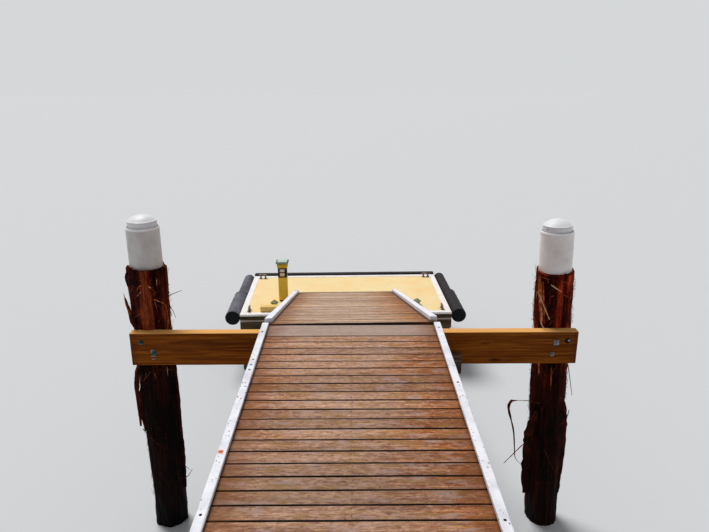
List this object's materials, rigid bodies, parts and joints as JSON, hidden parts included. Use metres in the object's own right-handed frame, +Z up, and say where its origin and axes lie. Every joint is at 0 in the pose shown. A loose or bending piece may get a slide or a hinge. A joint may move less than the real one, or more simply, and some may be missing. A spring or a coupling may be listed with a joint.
{
  "type": "wooden jetty with hinged gangway and float",
  "caption": "Boarded timber walkway on bark-covered log piles with white sleeves, and a hinged gangway down to a fendered float that rides the tide.",
  "frame": {"origin": "middle of the footprint, level with the pile feet and the underside of the float", "axes": "+X to the right across the jetty as one walks out, +Y out along the jetty towards open water, +Z up"},
  "size_m": [3.1443, 12.9972, 2.424],
  "materials": {
    "bark": "rough, stringy, dark when wet",
    "sleeve_white": "weathered satin",
    "cap_white": "weathered satin",
    "beam_hardwood": "oiled, open grain",
    "bay_hardwood": "weathered, open grain",
    "joist_timber": "rough sawn, dark",
    "deck_timber": "weathered boards",
    "kerb_paint": "worn white paint",
    "galvanised": "galvanised",
    "ramp_timber": "weathered boards",
    "ramp_frame": "rough sawn",
    "toe_cream": "painted",
    "roller_rubber": "matt",
    "tank_plastic": "moulded",
    "float_timber": "wet, dark",
    "ledge_timber": "weathered",
    "panel_cream": "non-slip, sanded",
    "edging_white": "painted",
    "fender_rubber": "matt, sun-faded",
    "cleat_metal": "cast",
    "knob_cast": "painted",
    "step_yellow": "worn",
    "post_yellow": "worn",
    "post_ochre": "worn",
    "post_pale": "satin"
  },
  "bodies": {
    "jetty": {"head_piles": "bark", "second_piles": "bark", "third_piles": "bark", "shore_piles": "bark", "pile_sleeves": "sleeve_white", "sleeve_caps": "cap_white", "head_crossbeam": "beam_hardwood", "bay_crossbeams": "bay_hardwood", "ledgers": "joist_timber", "joists_bay_1": "joist_timber", "joists_bay_2": "joist_timber", "joists_bay_3": "joist_timber", "deck_bay_1": "deck_timber", "deck_bay_2": "deck_timber", "deck_bay_3": "deck_timber", "kerbs_bay_1": "kerb_paint", "kerbs_bay_2": "kerb_paint", "kerbs_bay_3": "kerb_paint", "hinge_brackets": "galvanised", "hinge_pins": "galvanised"},
    "gangway": {"gangway_stringers": "ramp_frame", "gangway_noggings": "ramp_frame", "gangway_deck": "ramp_timber", "gangway_kerbs": "kerb_paint", "toe_strip": "toe_cream", "hinge_straps": "galvanised", "foot_axle": "galvanised", "foot_rollers": "roller_rubber"},
    "float": {"float_tanks": "tank_plastic", "float_walers": "float_timber", "float_bearers": "float_timber", "float_ledges": "ledge_timber", "float_rim": "float_timber", "float_sides": "float_timber", "float_joists": "float_timber", "float_deck": "panel_cream", "float_edging": "edging_white", "side_edging": "edging_white", "left_fenders": "fender_rubber", "right_fenders": "fender_rubber", "far_rubber": "fender_rubber", "cleats": "cleat_metal", "mooring_knobs": "knob_cast", "step_box": "step_yellow", "post_body": "post_yellow", "post_collar": "post_ochre", "post_cap": "post_pale"}
  },
  "joints": [
    {"name": "tide", "type": "slide", "parent": "jetty", "child": "float", "axis": [0, 0, 1], "range_m": [0, 0.75]},
    {"name": "gangway_hinge", "type": "hinge", "parent": "jetty", "child": "gangway", "pos_m": [-0.02819, 2.37088, 1.625], "axis": [0.9997, 0.0227, 0], "range_deg": [0, 14.8]}
  ],
  "couplings": [
    {"joint": "gangway_hinge", "follows": "tide", "rad_per_m": 0.3415}
  ]
}
